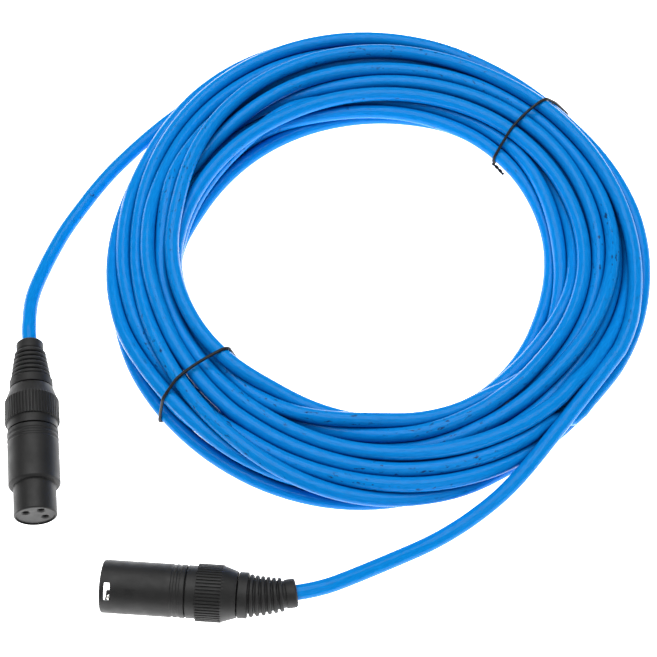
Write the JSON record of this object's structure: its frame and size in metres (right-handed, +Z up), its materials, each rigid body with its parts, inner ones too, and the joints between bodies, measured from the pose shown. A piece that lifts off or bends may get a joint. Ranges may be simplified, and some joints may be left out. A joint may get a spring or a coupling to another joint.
{
  "type": "xlr cable coil",
  "caption": "Coiled balanced microphone cable with a latching female and a pinned male connector, tied with two wire ties.",
  "frame": {"origin": "centre of the cable coil, on the floor it lies on", "axes": "+Z up along the coil's axis, +X to the right and +Y away from the connectors"},
  "size_m": [0.251, 0.2667, 0.0208],
  "materials": {
    "cable_blue": "satin",
    "tie_black": "satin",
    "shell_black": "satin",
    "collar_black": "satin",
    "boot_black": "matte",
    "insert_black": "matte",
    "contact_silver": "bright",
    "latch_metal": "satin",
    "chuck_white": "matte",
    "core_red": "satin",
    "core_white": "satin",
    "core_copper": "bright"
  },
  "bodies": {
    "root": {"cable_coil": "cable_blue", "female_lead": "cable_blue", "male_lead": "cable_blue", "left_tie": "tie_black", "right_tie": "tie_black", "female_shell": "shell_black", "female_insert": "insert_black", "female_socket_1": "contact_silver", "female_socket_2": "contact_silver", "female_socket_3": "contact_silver", "female_latch_pin": "contact_silver", "female_latch_spring": "contact_silver", "female_chuck": "chuck_white", "female_shield_wire": "core_copper", "female_hot_wire": "core_red", "female_cold_wire": "core_white", "male_shell": "shell_black", "male_insert": "insert_black", "male_pin_1": "contact_silver", "male_pin_2": "contact_silver", "male_pin_3": "contact_silver", "male_chuck": "chuck_white", "male_shield_wire": "core_copper", "male_hot_wire": "core_red", "male_cold_wire": "core_white"},
    "female_collar_body": {"female_collar": "collar_black"},
    "female_boot_body": {"female_boot": "boot_black"},
    "female_latch_body": {"female_latch": "latch_metal"},
    "male_collar_body": {"male_collar": "collar_black"},
    "male_boot_body": {"male_boot": "boot_black"}
  },
  "joints": [
    {"name": "female_boot_slide", "type": "slide", "parent": "root", "child": "female_boot_body", "axis": [-0.1219, 0.9925, 0], "range_m": [0, 0.004]},
    {"name": "female_collar_turn", "type": "hinge", "parent": "female_boot_body", "child": "female_collar_body", "pos_m": [-0.13034, -0.07238, 0.0105], "axis": [-0.1219, 0.9925, 0], "range_deg": [0, 1440]},
    {"name": "male_boot_slide", "type": "slide", "parent": "root", "child": "male_boot_body", "axis": [0.9976, -0.0698, 0], "range_m": [0, 0.004]},
    {"name": "male_collar_turn", "type": "hinge", "parent": "male_boot_body", "child": "male_collar_body", "pos_m": [-0.05883, -0.14621, 0.0105], "axis": [0.9976, -0.0698, 0], "range_deg": [0, 1440]},
    {"name": "female_latch_press", "type": "hinge", "parent": "root", "child": "female_latch_body", "pos_m": [-0.13113, -0.09363, 0.00603], "axis": [-0.7927, -0.0973, 0.6018], "range_deg": [0, 4], "stiffness_Nm_per_rad": 0.05, "springref_deg": -5.73, "deforming": ["female_latch_spring"]}
  ],
  "couplings": [
    {"joint": "female_boot_slide", "follows": "female_collar_turn", "m_per_rad": 0.00015915},
    {"joint": "male_boot_slide", "follows": "male_collar_turn", "m_per_rad": 0.00015915}
  ]
}
